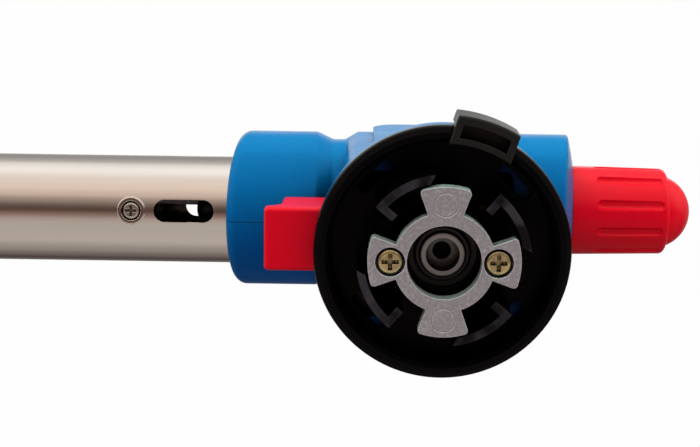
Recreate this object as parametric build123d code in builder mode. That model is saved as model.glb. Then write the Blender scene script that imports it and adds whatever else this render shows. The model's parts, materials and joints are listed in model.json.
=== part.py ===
from build123d import *
import math
import os

# Clip-on gas torch head. It locks onto a gas cartridge that hangs below it.
# +Z is up along the cartridge's axis, +X points towards the flame and +Y is the torch's left.
# The origin is the centre of the bayonet plate's lower face. All sizes are in millimetres.

os.makedirs("parts", exist_ok=True)

# ---- driving dimensions ---------------------------------------------------------------------

BARREL_Z = 45.8          # height of the burner tube's axis
HOUSING_Z = 47.7         # height of the casing's horizontal axis
KNOB_Z = 49.7            # height of the needle valve's axis

TUBE_R = 11.0            # burner tube, 22 mm outside
TUBE_WALL = 0.6
TUBE_REAR = 27.6
TUBE_FRONT = 115.0
TUBE_TURN = 8.0          # the tube is fixed this many degrees round from straight down
SLOT_X = 50.0            # middle of the lower air slot
UPPER_SLOT_X = 45.5      # middle of the upper air slot
SLOT_LENGTH = 12.0
SLOT_WIDTH = 4.5
TUBE_SCREW_X = 60.4

HOUSING_R = 15.8
WALL = 1.8
NOSE_R = 15.7
NECK_R = 14.2
NOSE_FRONT = 41.9        # front of the nose at its lowest point
NOSE_SLANT = 8.5         # degrees that the nose's face leans back
PILLAR_FRONT = 18.0
PILLAR_REAR = -15.0
FLANGE_R = 23.5
FLANGE_LOW = 9.3
SEAM = 0.05              # half the gap between the casing's halves
NOSE_EDGE_R = 2.2

CUP_R = 23.7
CUP_RIM_LOW = 6.2
CUP_RIM_TOP = 9.2
CUP_INNER_R = 20.8
CUP_FLOOR = 13.0
CUP_FLOOR_TOP = 14.6
HUB_R = 9.2
BORE_R = 6.75            # bore that goes over the cartridge's valve
BORE_DEPTH = 6.5
RIB_R = 15.8
RIB_THICK = 1.5
RIB_START = 38.0         # degrees from +X to the hooked end of the first rib
RIB_SWEEP = 45.0

PLATE_T = 2.8
LUG_R = 13.8
LUG_HALF_ANGLE = 20.0
SCREW_PITCH_R = 9.73     # from the cartridge's axis to each of the plate's screws
TAB_ANGLE = 108.0        # degrees from +X to the locator tab
TAB_R = 26.0
TAB_WIDTH = 11.8
LIP_R = 2.75             # raised lip round the tube's screw

TRIGGER_HALF = 6.1
TRIGGER_LOW = 17.3
TRIGGER_TOP = 28.0
TRIGGER_BACK = 13.0      # back face of the trigger's arm at rest
SLIDE_GAP = 0.3          # room round the trigger in its slot

PIEZO_Y = -10.3
PIEZO_Z = 22.8
PIEZO_BORE_R = 1.8

KNOB_BASE = -27.9
KNOB_SHOULDER = -47.6
KNOB_END = -52.85
KNOB_BASE_R = 9.15
KNOB_FRONT_R = 8.75
DOME_R = 7.25
FLUTES = 10
FLUTE_TURN = 18.0        # degrees from straight down to the first flute

SPINDLE_R = 2.5
NEEDLE_R = 2.1
RUNNING = 0.05           # radial clearance of shafts and threads

LEAD_R = 1.1
INSULATOR_R = 1.5
INSULATOR_Y = 0.7
INSULATOR_RISE = 7.5     # insulator's axis above the burner tube's axis

CARTRIDGE_AXIS = Axis.Z
BARREL_AXIS = Axis((0, 0, BARREL_Z), (1, 0, 0))
HOUSING_AXIS = Axis((0, 0, HOUSING_Z), (1, 0, 0))
KNOB_AXIS = Axis((0, 0, KNOB_Z), (1, 0, 0))
PIEZO_AXIS = Axis((0, PIEZO_Y, PIEZO_Z), (1, 0, 0))


# ---- helpers ----------------------------------------------------------------------------------

def side_plane(height, y=0.0):
    """Upright plane with +X to the right and +Z up; local heights count from the given height."""
    return Plane(origin=(0, y, height), x_dir=(1, 0, 0), z_dir=(0, -1, 0))


def cross_plane(x, height):
    """Plane across the torch at x, with +Y to the right and +Z up, centred on an axis height."""
    return Plane(origin=(x, 0, height), x_dir=(0, 1, 0), z_dir=(1, 0, 0))


def tube_side(x, turn, distance):
    """Plane facing out of the burner tube's side, turned from straight down towards +Y."""
    angle = math.radians(turn)
    outwards = (0, math.sin(angle), -math.cos(angle))
    origin = (x, outwards[1] * distance, BARREL_Z + outwards[2] * distance)
    return Plane(origin=origin, x_dir=(1, 0, 0), z_dir=outwards)


def outline(points, plane, rounded=(), radius=0.0):
    """Closed straight-sided face on a plane, with the numbered corners rounded."""
    with BuildSketch(plane) as sketch:
        with BuildLine():
            Polyline(*points, close=True)
        make_face()
        for number in rounded:
            corner = sketch.vertices().sort_by_distance(Vector(*points[number], 0))[0]
            fillet(corner, radius)
    return sketch.sketch


def pan_screw(head_r, head_height, shank_r, shank_length):
    """Cross-head screw: its seat is at z = 0, its shank runs up and its head hangs below."""
    with BuildPart() as screw:
        with BuildSketch(Plane.XZ):
            with BuildLine():
                Polyline(
                    (0, -head_height),
                    (0, shank_length),
                    (shank_r, shank_length),
                    (shank_r, 0),
                    (head_r, 0),
                    (head_r, -0.45 * head_height),
                )
                ThreePointArc(
                    (head_r, -0.45 * head_height),
                    (0.91 * head_r, -0.84 * head_height),
                    (0.7 * head_r, -head_height),
                )
                Line((0.7 * head_r, -head_height), (0, -head_height))
            make_face()
        revolve(axis=Axis.Z)
        # cross recess: wide at the face, with a narrower and deeper middle
        for arm, width, depth in ((1.3, 0.34, 0.55), (0.74, 0.34, 0.8)):
            with BuildSketch(Plane.XY.offset(-head_height)):
                Rectangle(arm * head_r, width * head_r)
                Rectangle(width * head_r, arm * head_r)
            extrude(amount=depth * head_height, mode=Mode.SUBTRACT)
    return screw.part


def coil_spring(start_x, length, radius, wire_r, pitch):
    """Compression spring along the igniter's axis."""
    with BuildPart() as spring:
        with BuildLine() as path:
            Helix(pitch, length, radius, center=(start_x, PIEZO_Y, PIEZO_Z), direction=(1, 0, 0))
        with BuildSketch(Plane(origin=path.line @ 0, z_dir=path.line % 0)):
            Circle(wire_r)
        sweep(is_frenet=True)
    return spring.part


def save(builder, name):
    """Label a finished piece and write it."""
    builder.part.label = name
    export_step(builder.part, f"parts/{name}.step")


# ---- casing: two blue moulded halves -----------------------------------------------------------

CAVITY_R = HOUSING_R - WALL
NECK_CAVITY_R = NECK_R - WALL
CAVITY_REAR = -25.4
REAR_BALL_R = 62.0                 # the rear face is crowned by a large ball
REAR_BALL_CENTRE = (32.6, 0, 54.3)
KNOB_RECESS_X = -27.5
NUT_NECK_R = 4.6
PAD_LENGTH = 25.2
PAD_HEIGHT = 26.4
PAD_Z = 37.6
PAD_PROUD = 1.3
PILLAR_MIDDLE = (PILLAR_FRONT + PILLAR_REAR) / 2
PILLAR_LENGTH = PILLAR_FRONT - PILLAR_REAR

# place along X, height, depth of the head's seat, boss radius and screw end
CASING_SCREWS = [
    (-21.0, 37.5, -9.2, 3.7, 7.0),
    (13.2, 35.8, -12.4, 3.8, 9.0),
    (-12.0, 60.2, -6.9, 3.3, 5.0),
    (10.0, 60.2, -6.9, 3.3, 5.0),
]
CASING_HEAD_R = 2.4
CASING_HEAD_HEIGHT = 1.7
CASING_SHANK_R = 1.4


def nose_plane(inwards):
    """The nose's slanted face, or a plane parallel to it, further back."""
    slant = math.radians(NOSE_SLANT)
    return Plane(
        origin=(NOSE_FRONT - inwards, 0, HOUSING_Z - NOSE_R),
        x_dir=(0, 1, 0),
        z_dir=(math.cos(slant), 0, math.sin(slant)),
    )


def screw_plane(screw_x, y, screw_z):
    """Plane facing +Y on a casing screw's axis."""
    return Plane(origin=(screw_x, y, screw_z), x_dir=(1, 0, 0), z_dir=(0, 1, 0))


HOUSING_OUTLINE = [
    (-35.0, 0),
    (-35.0, HOUSING_R),
    (15.6, HOUSING_R),
    (18.2, NECK_R),
    (20.6, NECK_R),
    (23.8, NOSE_R),
    (46.0, NOSE_R),
    (46.0, 0),
]
CAVITY_OUTLINE = [
    (CAVITY_REAR, 0),
    (CAVITY_REAR, 12.6),
    (-23.6, CAVITY_R),
    (15.0, CAVITY_R),
    (16.6, NECK_CAVITY_R),
    (24.8, NECK_CAVITY_R),
    (24.8, NOSE_R - WALL),
    (46.0, NOSE_R - WALL),
    (46.0, 0),
]

with BuildPart() as housing_shape:
    revolve(outline(HOUSING_OUTLINE, side_plane(HOUSING_Z), (2, 3, 4, 5), 1.6), axis=HOUSING_AXIS)
    split(bisect_by=nose_plane(0), keep=Keep.BOTTOM)
    fillet(housing_shape.faces().filter_by(nose_plane(0)).edges(), NOSE_EDGE_R)
    with Locations(REAR_BALL_CENTRE):
        Sphere(REAR_BALL_R, mode=Mode.INTERSECT)
    fillet(housing_shape.faces().sort_by(Axis.X)[0].edges(), 0.8)

with BuildPart() as casing_shape:
    add(housing_shape.part)
    # upright pillar
    with BuildSketch(Plane.XY.offset(FLANGE_LOW + 4)):
        with Locations((PILLAR_MIDDLE, 0)):
            RectangleRounded(PILLAR_LENGTH, 2 * HOUSING_R, 3.0)
    extrude(amount=HOUSING_Z - FLANGE_LOW - 4)
    # round flange that holds the cup, with a concave skirt up to the pillar
    with BuildSketch(Plane.XZ):
        with BuildLine():
            Polyline((0, 34), (0, FLANGE_LOW), (FLANGE_R, FLANGE_LOW), (FLANGE_R, 12.9), (22.4, 14.0))
            ThreePointArc((22.4, 14.0), (19.4, 17.0), (18.3, 22.0))
            Polyline((18.3, 22.0), (15.0, 34), (0, 34))
        make_face()
    revolve(axis=CARTRIDGE_AXIS)
    # raised pad on each side
    for side in (1, -1):
        with BuildSketch(side_plane(PAD_Z, side * (HOUSING_R - 2))):
            RectangleRounded(PAD_LENGTH, PAD_HEIGHT, 5.0)
        extrude(amount=-side * (2 + PAD_PROUD))

with BuildPart() as casing_cavity:
    revolve(outline(CAVITY_OUTLINE, side_plane(HOUSING_Z)), axis=HOUSING_AXIS)
    split(bisect_by=nose_plane(2.4), keep=Keep.BOTTOM)
    with BuildSketch(Plane.XY.offset(CUP_FLOOR_TOP)):
        with Locations((PILLAR_MIDDLE, 0)):
            RectangleRounded(PILLAR_LENGTH - 2 * WALL, 2 * CAVITY_R, 1.5)
    extrude(amount=HOUSING_Z - CUP_FLOOR_TOP)
    with BuildSketch(Plane.XY.offset(CUP_FLOOR_TOP)):
        Circle(16.2)
    extrude(amount=16)
    # seat of the cup under the flange
    with BuildSketch(Plane.XY.offset(FLANGE_LOW - 1)):
        Circle(21.6)
    extrude(amount=CUP_FLOOR_TOP - FLANGE_LOW + 1)

with BuildPart() as casing:
    add(casing_shape.part)
    add(casing_cavity.part, mode=Mode.SUBTRACT)
    # ribs that clamp the tube socket's flange in the nose
    with BuildSketch(cross_plane(22.9, BARREL_Z)):
        Circle(13.5)
        Circle(10.5, mode=Mode.SUBTRACT)
    extrude(amount=1.7)
    with BuildSketch(cross_plane(27.8, BARREL_Z)):
        Circle(16.4)
        Circle(TUBE_R + 0.2, mode=Mode.SUBTRACT)
    extrude(amount=1.8)
    # screw bosses
    for screw_x, screw_z, seat_y, boss_r, end_y in CASING_SCREWS:
        with BuildSketch(screw_plane(screw_x, -20, screw_z)):
            Circle(boss_r)
        extrude(amount=40)
    add(casing_shape.part, mode=Mode.INTERSECT)
    # bore for the burner tube, through the nose
    with BuildSketch(cross_plane(29.0, BARREL_Z)):
        Circle(TUBE_R + 0.2)
    extrude(amount=20, mode=Mode.SUBTRACT)
    # recess for the knob's skirt and bore for the gland nut
    with BuildSketch(cross_plane(KNOB_RECESS_X, KNOB_Z)):
        Circle(KNOB_BASE_R + 0.22)
    extrude(amount=-8, mode=Mode.SUBTRACT)
    with BuildSketch(cross_plane(CAVITY_REAR + 1, KNOB_Z)):
        Circle(NUT_NECK_R + 0.3)
    extrude(amount=-8, mode=Mode.SUBTRACT)
    # slot for the trigger
    with BuildSketch(Plane.XY.offset(TRIGGER_LOW - SLIDE_GAP)):
        with Locations((23, 0)):
            Rectangle(26, 2 * (TRIGGER_HALF + SLIDE_GAP))
    extrude(amount=TRIGGER_TOP - TRIGGER_LOW + 2 * SLIDE_GAP, mode=Mode.SUBTRACT)
    # screw holes: a pocket for the head, then a hole for the shank
    for screw_x, screw_z, seat_y, boss_r, end_y in CASING_SCREWS:
        with BuildSketch(screw_plane(screw_x, seat_y, screw_z)):
            Circle(CASING_HEAD_R + 0.25)
        extrude(amount=-20, mode=Mode.SUBTRACT)
        with BuildSketch(screw_plane(screw_x, seat_y, screw_z)):
            Circle(CASING_SHANK_R + RUNNING)
        extrude(amount=end_y - seat_y + 0.3, mode=Mode.SUBTRACT)

with BuildPart() as casing_left:
    add(casing.part)
    split(bisect_by=Plane.ZX.offset(SEAM), keep=Keep.TOP)
save(casing_left, "casing_left")

with BuildPart() as casing_right:
    add(casing.part)
    split(bisect_by=Plane.ZX.offset(-SEAM), keep=Keep.BOTTOM)
save(casing_right, "casing_right")

with BuildPart() as casing_screws:
    for screw_x, screw_z, seat_y, boss_r, end_y in CASING_SCREWS:
        with Locations(screw_plane(screw_x, seat_y, screw_z)):
            add(pan_screw(CASING_HEAD_R, CASING_HEAD_HEIGHT, CASING_SHANK_R, end_y - seat_y))
save(casing_screws, "casing_screws")


# ---- cartridge cup: black moulded collar with ribs and windows ---------------------------------

POST_R = 3.3
FLOOR_HOLE_R = 5.8
SLEEVE_R = 6.4                     # bore past the step, round the rubber seal
SCREW_HOLE_R = 1.6
CUP_OUTLINE = [
    (FLOOR_HOLE_R, CUP_FLOOR),
    (20.4, CUP_FLOOR),
    (CUP_INNER_R, 6.9),
    (21.6, CUP_RIM_LOW),
    (22.6, CUP_RIM_LOW + 0.15),
    (CUP_R - 0.2, 7.0),
    (CUP_R, 7.8),
    (CUP_R, CUP_RIM_TOP),
    (21.5, CUP_RIM_TOP),
    (21.5, CUP_FLOOR_TOP),
    (FLOOR_HOLE_R, CUP_FLOOR_TOP),
]
HUB_OUTLINE = [
    (BORE_R, PLATE_T),
    (HUB_R, PLATE_T),
    (HUB_R, CUP_FLOOR + 0.2),
    (SLEEVE_R, CUP_FLOOR + 0.2),
    (SLEEVE_R, BORE_DEPTH),
    (BORE_R, BORE_DEPTH),
]

with BuildPart() as cartridge_cup:
    revolve(outline(CUP_OUTLINE, Plane.XZ), axis=CARTRIDGE_AXIS)
    revolve(outline(HUB_OUTLINE, Plane.XZ), axis=CARTRIDGE_AXIS)
    # posts behind the plate's lugs
    with BuildSketch(Plane.XY.offset(PLATE_T)):
        with PolarLocations(SCREW_PITCH_R + 0.4, 4):
            Circle(POST_R)
        Circle(8.0, mode=Mode.SUBTRACT)
    extrude(amount=CUP_FLOOR - PLATE_T + 0.2)
    # peg beside the first post
    with BuildSketch(Plane.XY.offset(8.0)):
        with Locations((10.4, 4.9)):
            Circle(1.2)
    extrude(amount=CUP_FLOOR - 7.8)
    # curved ribs, each with a hooked end
    for quarter in range(4):
        start = RIB_START + 90 * quarter
        with BuildSketch(Plane.XY.offset(1.0)):
            with BuildLine():
                outer = CenterArc((0, 0), RIB_R, start, RIB_SWEEP)
                inner = CenterArc((0, 0), RIB_R - RIB_THICK, start, RIB_SWEEP - 4)
                Line(outer @ 0, inner @ 0)
                Line(outer @ 1, inner @ 1)
            make_face()
            with Locations(Location((0, 0, 0), (0, 0, start + 2.7))):
                with Locations((RIB_R - 2.2, 0)):
                    Rectangle(3.4, 1.5)
        extrude(amount=CUP_FLOOR - 0.9)
    # windows inside and outside the ribs
    for quarter in range(4):
        with BuildSketch(Plane.XY.offset(CUP_FLOOR - 1)):
            with Locations(Location((0, 0, 0), (0, 0, 47 + 90 * quarter))):
                with Locations((11.6, 0)):
                    RectangleRounded(2.6, 4.6, 0.8)
                with Locations((18.1, 0)):
                    RectangleRounded(2.4, 8.0, 0.8)
        extrude(amount=4, mode=Mode.SUBTRACT)
    # bores for the plate's screws
    with BuildSketch(Plane.XY.offset(1)):
        with PolarLocations(SCREW_PITCH_R, 2):
            Circle(SCREW_HOLE_R)
    extrude(amount=16, mode=Mode.SUBTRACT)
    # notch for the locator tab
    with BuildSketch(Plane.XY.rotated((0, 0, TAB_ANGLE)).offset(CUP_RIM_LOW - 1)):
        with Locations((22.4, 0)):
            Rectangle(6.4, TAB_WIDTH + 0.3)
    extrude(amount=CUP_RIM_TOP - CUP_RIM_LOW + 1, mode=Mode.SUBTRACT)
save(cartridge_cup, "cartridge_cup")


# ---- locator tab: charcoal guide block in the cup's rim -----------------------------------------

TAB_LOW = 5.0
TAB_SHELF = 9.1
TAB_TOP = 13.0
TAB_CORNER_R = 1.4
TAB_PLANE = Plane.XY.rotated((0, 0, TAB_ANGLE))

with BuildPart() as locator_tab:
    with BuildSketch(TAB_PLANE.offset(TAB_LOW)):
        with Locations((22.6, 0)):
            RectangleRounded(7.2, TAB_WIDTH, TAB_CORNER_R)
        Circle(TAB_R, mode=Mode.INTERSECT)
        Circle(20.6, mode=Mode.SUBTRACT)
    extrude(amount=TAB_SHELF - TAB_LOW)
    with BuildSketch(TAB_PLANE.offset(TAB_SHELF)):
        with Locations((24.2, 0)):
            RectangleRounded(4, TAB_WIDTH, TAB_CORNER_R)
        Circle(TAB_R, mode=Mode.INTERSECT)
        Circle(24.0, mode=Mode.SUBTRACT)
    extrude(amount=TAB_TOP - TAB_SHELF)
    with BuildSketch(TAB_PLANE.offset(TAB_LOW)):
        with Locations((23.5, 0)):
            RectangleRounded(6, TAB_WIDTH - 2.8, 0.5)
        Circle(TAB_R - 1.6, mode=Mode.INTERSECT)
        Circle(21.9, mode=Mode.SUBTRACT)
    extrude(amount=3.4, mode=Mode.SUBTRACT)
    fillet(locator_tab.faces().sort_by(Axis.Z)[0].outer_wire().edges(), 0.5)
save(locator_tab, "locator_tab")


# ---- bayonet plate and its two screws -----------------------------------------------------------

PLATE_HEAD_R = 2.4
PLATE_SHANK_R = 1.5
PLATE_SEAT = 1.5
LUG_REACH = 16.0
LUG_SPREAD = LUG_REACH * math.tan(math.radians(LUG_HALF_ANGLE))

with BuildPart() as bayonet_plate:
    with BuildSketch() as plate_sketch:
        for quarter in range(4):
            with Locations(Location((0, 0, 0), (0, 0, 90 * quarter))):
                Polygon((0, 0), (LUG_REACH, -LUG_SPREAD), (LUG_REACH, LUG_SPREAD), align=None)
        Circle(LUG_R, mode=Mode.INTERSECT)
        Circle(HUB_R)
        fillet(plate_sketch.vertices().group_by(SortBy.DISTANCE)[-1], 0.7)
        Circle(BORE_R, mode=Mode.SUBTRACT)
    extrude(amount=PLATE_T)
    with BuildSketch():
        with PolarLocations(SCREW_PITCH_R, 2):
            Circle(PLATE_HEAD_R + 0.3)
    extrude(amount=PLATE_SEAT, mode=Mode.SUBTRACT)
    with BuildSketch():
        with PolarLocations(SCREW_PITCH_R, 2):
            Circle(SCREW_HOLE_R)
    extrude(amount=PLATE_T, mode=Mode.SUBTRACT)
    # ring marks on the two lugs with no screw
    with BuildSketch():
        with PolarLocations(10.6, 2, start_angle=90):
            Circle(2.25)
            Circle(2.05, mode=Mode.SUBTRACT)
    extrude(amount=0.15, mode=Mode.SUBTRACT)
save(bayonet_plate, "bayonet_plate")

with BuildPart() as plate_screws:
    with Locations((SCREW_PITCH_R, 0, PLATE_SEAT), (-SCREW_PITCH_R, 0, PLATE_SEAT)):
        add(pan_screw(PLATE_HEAD_R, 1.3, PLATE_SHANK_R, 14.5))
save(plate_screws, "plate_screws")


# ---- inlet: nozzle, rubber seal, O-ring and filter ------------------------------------------------

NOZZLE_FACE = 6.6
NOZZLE_R = 4.25
NOZZLE_BORE_R = 3.1
NOZZLE_BORE_TOP = 10.4
BLOCK_LOW = CUP_FLOOR_TOP + 0.05
THREAD_R = 3.55
THREAD_TOP = 20.5
FILTER_R = 2.5
FILTER_LOW = 17.2

with BuildPart() as inlet_nozzle:
    nozzle_outline = [
        (NOZZLE_BORE_R, NOZZLE_FACE),
        (NOZZLE_R, NOZZLE_FACE),
        (NOZZLE_R, 13.2),
        (5.5, 13.2),
        (5.5, CUP_FLOOR_TOP),
        (THREAD_R, CUP_FLOOR_TOP),
        (THREAD_R, THREAD_TOP),
        (FILTER_R + 0.1, THREAD_TOP),
        (FILTER_R + 0.1, FILTER_LOW - 0.1),
        (1.7, FILTER_LOW - 0.1),
        (1.7, NOZZLE_BORE_TOP),
        (NOZZLE_BORE_R, NOZZLE_BORE_TOP),
    ]
    revolve(outline(nozzle_outline, Plane.XZ, (1,), 0.4), axis=CARTRIDGE_AXIS)
save(inlet_nozzle, "inlet_nozzle")

with BuildPart() as inlet_seal:
    seal_outline = [
        (NOZZLE_R + RUNNING, 7.5),
        (4.9, 7.5),
        (5.3, 8.6),
        (SLEEVE_R - RUNNING, 8.6),
        (SLEEVE_R - RUNNING, 12.9),
        (NOZZLE_R + RUNNING, 12.9),
    ]
    revolve(outline(seal_outline, Plane.XZ), axis=CARTRIDGE_AXIS)
save(inlet_seal, "inlet_seal")

with BuildPart() as inlet_o_ring:
    with Locations((0, 0, 15.3)):
        Torus(4.62, 0.62)
save(inlet_o_ring, "inlet_o_ring")

with BuildPart() as inlet_filter:
    with BuildSketch(Plane.XY.offset(FILTER_LOW)):
        Circle(FILTER_R)
    extrude(amount=2.2)
save(inlet_filter, "inlet_filter")


# ---- valve: block, needle, gland and knob -----------------------------------------------------------

CHAMBER_R = THREAD_R + RUNNING
SEAT_X = 2.0
SEAT_R = 0.7
VALVE_REAR = -20.0
VALVE_R = 6.2
PIPE_R = 2.0
PIPE_START = 8.1

with BuildPart() as valve_block:
    # ears for the plate's screws
    with BuildSketch(Plane.XY.offset(BLOCK_LOW)):
        SlotOverall(26.0, 8.6)
    extrude(amount=2.4)
    # upright inlet, valve body along the needle, boss for the jet pipe
    with BuildSketch(Plane.XY.offset(BLOCK_LOW)):
        Circle(6.0)
    extrude(amount=KNOB_Z - BLOCK_LOW)
    with BuildSketch(cross_plane(VALVE_REAR, KNOB_Z)):
        Circle(VALVE_R)
    extrude(amount=26.8)
    with BuildSketch(cross_plane(0, BARREL_Z)):
        Circle(5.0)
    extrude(amount=12.0)
    # inlet passage, with a groove for the O-ring
    with BuildSketch(Plane.XY.offset(BLOCK_LOW)):
        Circle(CHAMBER_R)
    extrude(amount=6.4, mode=Mode.SUBTRACT)
    with BuildSketch(Plane.XY.offset(BLOCK_LOW)):
        Circle(5.3)
    extrude(amount=1.3, mode=Mode.SUBTRACT)
    with BuildSketch(Plane.XY.offset(BLOCK_LOW)):
        Circle(1.2)
    extrude(amount=KNOB_Z - BLOCK_LOW, mode=Mode.SUBTRACT)
    # needle chamber, seat, drop to the outlet and the outlet itself
    chamber_outline = [
        (VALVE_REAR, 0),
        (VALVE_REAR, CHAMBER_R),
        (-7.0, CHAMBER_R),
        (-7.0, NEEDLE_R + 0.1),
        (SEAT_X, NEEDLE_R + 0.1),
        (SEAT_X, SEAT_R),
        (5.2, SEAT_R),
        (5.2, 0),
    ]
    revolve(outline(chamber_outline, side_plane(KNOB_Z)), axis=KNOB_AXIS, mode=Mode.SUBTRACT)
    with BuildSketch(Plane.XY.offset(BARREL_Z)):
        with Locations((4.7, 0)):
            Circle(0.9)
    extrude(amount=KNOB_Z - BARREL_Z, mode=Mode.SUBTRACT)
    with BuildSketch(cross_plane(3.6, BARREL_Z)):
        Circle(1.4)
    extrude(amount=10, mode=Mode.SUBTRACT)
    with BuildSketch(cross_plane(PIPE_START, BARREL_Z)):
        Circle(PIPE_R + RUNNING)
    extrude(amount=10, mode=Mode.SUBTRACT)
    # bores for the plate's screws
    with BuildSketch(Plane.XY.offset(BLOCK_LOW)):
        with PolarLocations(SCREW_PITCH_R, 2):
            Circle(PLATE_SHANK_R + RUNNING)
    extrude(amount=4, mode=Mode.SUBTRACT)
save(valve_block, "valve_block")

SHOULDER_X = -20.2
SPINDLE_END = -44.0
FLAT_START = -36.0
FLAT_HEIGHT = 1.9
NEEDLE_TRAVEL = 1.25               # back from the seat, at one turn and a quarter of a 1 mm thread

with BuildPart() as needle_spindle:
    spindle_outline = [
        (2.72, 0),
        (2.72, 0.25),
        (-0.43, NEEDLE_R),
        (SHOULDER_X, NEEDLE_R),
        (SHOULDER_X, SPINDLE_R),
        (SPINDLE_END, SPINDLE_R),
        (SPINDLE_END, 0),
    ]
    revolve(outline(spindle_outline, side_plane(KNOB_Z)), axis=KNOB_AXIS)
    with BuildSketch(cross_plane(FLAT_START, KNOB_Z)):
        with Locations((0, FLAT_HEIGHT + 2)):
            Rectangle(8, 4)
    extrude(amount=SPINDLE_END - FLAT_START, mode=Mode.SUBTRACT)
save(needle_spindle, "needle_spindle")

with BuildPart() as spindle_o_ring:
    with Locations(Plane(origin=(-11.0, 0, KNOB_Z), z_dir=(1, 0, 0))):
        Torus(2.86, 0.68)
save(spindle_o_ring, "spindle_o_ring")

GROOVE_FRONT = -31.0
GROOVE_REAR = -31.9
GROOVE_R = 4.0
NUT_END = -34.0
HEX_REAR = -24.2

with BuildPart() as gland_nut:
    with BuildSketch(cross_plane(VALVE_REAR - 0.1, KNOB_Z)):
        RegularPolygon(6.2, 6, major_radius=False)
    extrude(amount=HEX_REAR - VALVE_REAR + 0.1)
    nut_outline = [
        (-13.5, 0),
        (-13.5, THREAD_R),
        (VALVE_REAR - 0.1, THREAD_R),
        (HEX_REAR + 1, NUT_NECK_R),
        (GROOVE_FRONT, NUT_NECK_R),
        (GROOVE_FRONT, GROOVE_R),
        (GROOVE_REAR, GROOVE_R),
        (GROOVE_REAR, NUT_NECK_R),
        (NUT_END, NUT_NECK_R),
        (NUT_END, 0),
    ]
    revolve(outline(nut_outline, side_plane(KNOB_Z)), axis=KNOB_AXIS)
    nut_bore = [
        (-13.0, 0),
        (-13.0, NEEDLE_R + RUNNING),
        (SHOULDER_X + 0.3, NEEDLE_R + RUNNING),
        (SHOULDER_X + 0.3, SPINDLE_R + RUNNING),
        (NUT_END - 1, SPINDLE_R + RUNNING),
        (NUT_END - 1, 0),
    ]
    revolve(outline(nut_bore, side_plane(KNOB_Z)), axis=KNOB_AXIS, mode=Mode.SUBTRACT)
save(gland_nut, "gland_nut")

with BuildPart() as knob_clip:
    with BuildSketch(cross_plane(GROOVE_FRONT - 0.05, KNOB_Z)):
        Circle(5.2)
        Circle(GROOVE_R + RUNNING, mode=Mode.SUBTRACT)
        with Locations((0, 5)):
            Rectangle(4.0, 8.0, mode=Mode.SUBTRACT)
    extrude(amount=GROOVE_REAR - GROOVE_FRONT + 0.1)
save(knob_clip, "knob_clip")

FLUTE_R = 1.1
FLUTE_DEPTH = 0.65
FLUTE_START = -33.9
FLUTE_LENGTH = 11.6
KNOB_BORE_END = -45.8
KNOB_FLAT_START = FLAT_START - NEEDLE_TRAVEL - 0.35
BALL_R = (DOME_R**2 + (KNOB_SHOULDER - KNOB_END) ** 2) / (2 * (KNOB_SHOULDER - KNOB_END))
BALL_X = KNOB_END + BALL_R
DOME_MIDDLE_X = BALL_X - BALL_R * math.cos(math.radians(33))
DOME_MIDDLE_R = BALL_R * math.sin(math.radians(33))

with BuildPart() as knob:
    with BuildSketch(side_plane(KNOB_Z)) as knob_sketch:
        with BuildLine():
            Polyline(
                (KNOB_END, 0),
                (KNOB_BASE, 0),
                (KNOB_BASE, KNOB_BASE_R),
                (KNOB_SHOULDER, KNOB_FRONT_R),
                (KNOB_SHOULDER, DOME_R),
            )
            ThreePointArc((KNOB_SHOULDER, DOME_R), (DOME_MIDDLE_X, DOME_MIDDLE_R), (KNOB_END, 0))
        make_face()
        fillet(knob_sketch.vertices().sort_by_distance(Vector(KNOB_SHOULDER, KNOB_FRONT_R, 0))[0], 1.1)
    revolve(axis=KNOB_AXIS)
    # long flutes with round ends
    for number in range(FLUTES):
        angle = math.radians(FLUTE_TURN + number * 360 / FLUTES)
        reach = KNOB_FRONT_R + 0.15 - FLUTE_DEPTH + FLUTE_R
        flute_y = reach * math.sin(angle)
        flute_z = KNOB_Z - reach * math.cos(angle)
        with Locations(Location((FLUTE_START - FLUTE_LENGTH / 2, flute_y, flute_z), (0, 90, 0))):
            Cylinder(FLUTE_R, FLUTE_LENGTH, mode=Mode.SUBTRACT)
        with Locations((FLUTE_START, flute_y, flute_z), (FLUTE_START - FLUTE_LENGTH, flute_y, flute_z)):
            Sphere(FLUTE_R, mode=Mode.SUBTRACT)
    # bore round the gland nut, groove for the clip and bore for the spindle
    knob_bore = [
        (KNOB_BASE + 1, 0),
        (KNOB_BASE + 1, 7.4),
        (KNOB_BASE - 1.2, 7.4),
        (KNOB_BASE - 1.2, NUT_NECK_R + 0.08),
        (GROOVE_FRONT + 0.25, NUT_NECK_R + 0.08),
        (GROOVE_FRONT + 0.25, 5.5),
        (GROOVE_REAR - 0.25, 5.5),
        (GROOVE_REAR - 0.25, NUT_NECK_R + 0.08),
        (NUT_END - 0.4, NUT_NECK_R + 0.08),
        (NUT_END - 0.4, SPINDLE_R + RUNNING),
        (KNOB_BORE_END, SPINDLE_R + RUNNING),
        (KNOB_BORE_END, 0),
    ]
    revolve(outline(knob_bore, side_plane(KNOB_Z)), axis=KNOB_AXIS, mode=Mode.SUBTRACT)
    # flat that turns the spindle
    with BuildSketch(cross_plane(KNOB_FLAT_START, KNOB_Z)):
        with Locations((0, FLAT_HEIGHT + RUNNING + 0.75)):
            Rectangle(5.0, 1.5)
    extrude(amount=KNOB_BORE_END - KNOB_FLAT_START)
save(knob, "knob")


# ---- burner: pipe, jet, socket, mixer, flame holder and tube -----------------------------------------

JET_R = 3.0
JET_REAR = 38.0
JET_FRONT = 48.2
PIPE_END = 40.5
SLEEVE_OUTER = TUBE_R - TUBE_WALL - RUNNING
SOCKET_REAR = 24.9
SOCKET_FACE = 27.5
SOCKET_END = 38.0
MIXER_REAR = 57.0
MIXER_FLANGE_END = 64.5
MIXER_END = 99.0
MIXER_END_R = 5.0
HOLDER_REAR = 96.6

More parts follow.
